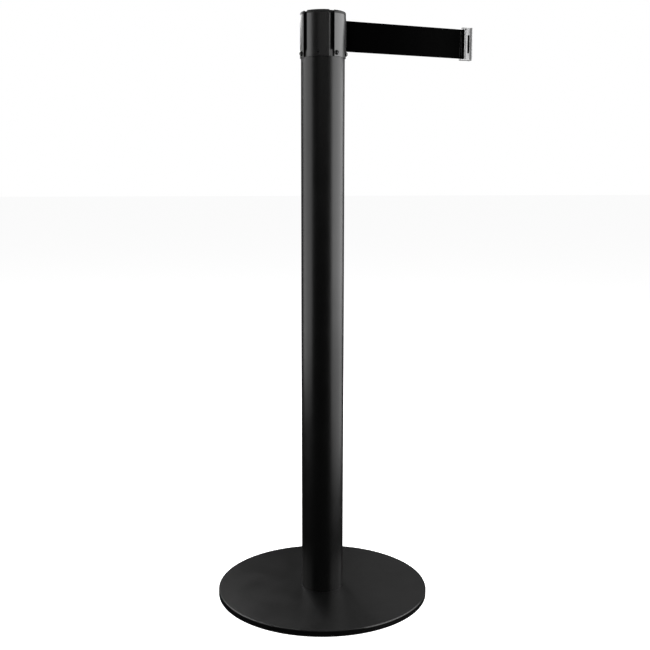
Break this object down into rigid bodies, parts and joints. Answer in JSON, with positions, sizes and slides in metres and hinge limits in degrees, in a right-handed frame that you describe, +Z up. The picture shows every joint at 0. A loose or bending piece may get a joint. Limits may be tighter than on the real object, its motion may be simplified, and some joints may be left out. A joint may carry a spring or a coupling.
{
  "type": "retractable belt stanchion",
  "caption": "Free-standing barrier post on a round base; its head holds a sprung spool of black webbing with a metal end clip and receiver grooves for neighbouring belts.",
  "frame": {"origin": "centre of the base's underside, on the post's axis, at floor level", "axes": "+Z up along the post, +X the way the belt leaves the head"},
  "size_m": [0.4495, 0.355, 0.96],
  "materials": {
    "base_paint": "satin powder coat, fine texture",
    "post_paint": "satin powder coat, fine texture",
    "head_plastic": "satin black moulding",
    "cap_plastic": "fine matt moulding",
    "webbing": "black woven polyester webbing",
    "clip_metal": "satin cast metal",
    "black_steel": "black zinc",
    "plain_steel": "ground",
    "zinc_steel": "zinc plated",
    "spring_steel": "blued strip",
    "bush_brass": "sintered bronze",
    "spool_plastic": "natural acetal",
    "ring_rubber": "matt black"
  },
  "bodies": {
    "post": {"base_plate": "base_paint", "floor_ring": "ring_rubber", "base_bolt": "zinc_steel", "locating_pin": "plain_steel", "post_tube": "post_paint", "foot_plug": "zinc_steel", "head_housing": "head_plastic", "head_cap": "cap_plastic", "window_bezel": "head_plastic", "guide_pins": "plain_steel", "mount_ring": "zinc_steel", "head_screws": "black_steel", "set_screws": "black_steel", "cassette_plate": "zinc_steel", "upper_plate": "zinc_steel", "plate_screws": "plain_steel", "cap_screws": "plain_steel", "upper_bush": "bush_brass", "thrust_washer": "spool_plastic", "spring_cup": "zinc_steel", "power_spring": "spring_steel", "lower_bush": "bush_brass", "belt_lead": "webbing"},
    "spool": {"spool_shaft": "plain_steel", "spool_hub": "spool_plastic", "spool_flange": "spool_plastic", "spring_arbor": "plain_steel", "retaining_ring": "spring_steel", "belt_roll": "webbing"},
    "belt_end": {"belt_free": "webbing", "belt_loop": "webbing"},
    "clip": {"clip_body": "clip_metal", "clip_pin": "plain_steel"}
  },
  "joints": [
    {"name": "belt_extend", "type": "slide", "parent": "post", "child": "belt_end", "axis": [1, 0, 0], "range_m": [-0.2122, 2], "deforming": ["belt_free"]},
    {"name": "spool_spin", "type": "hinge", "parent": "post", "child": "spool", "pos_m": [0, 0, 0.9], "axis": [0, 0, 1], "continuous": true},
    {"name": "clip_swivel", "type": "hinge", "parent": "belt_end", "child": "clip", "pos_m": [0.2575, 0, 0.927], "axis": [0, 0, 1], "range_deg": [-80, 80]}
  ],
  "couplings": [
    {"joint": "spool_spin", "follows": "belt_extend", "rad_per_m": -59}
  ]
}
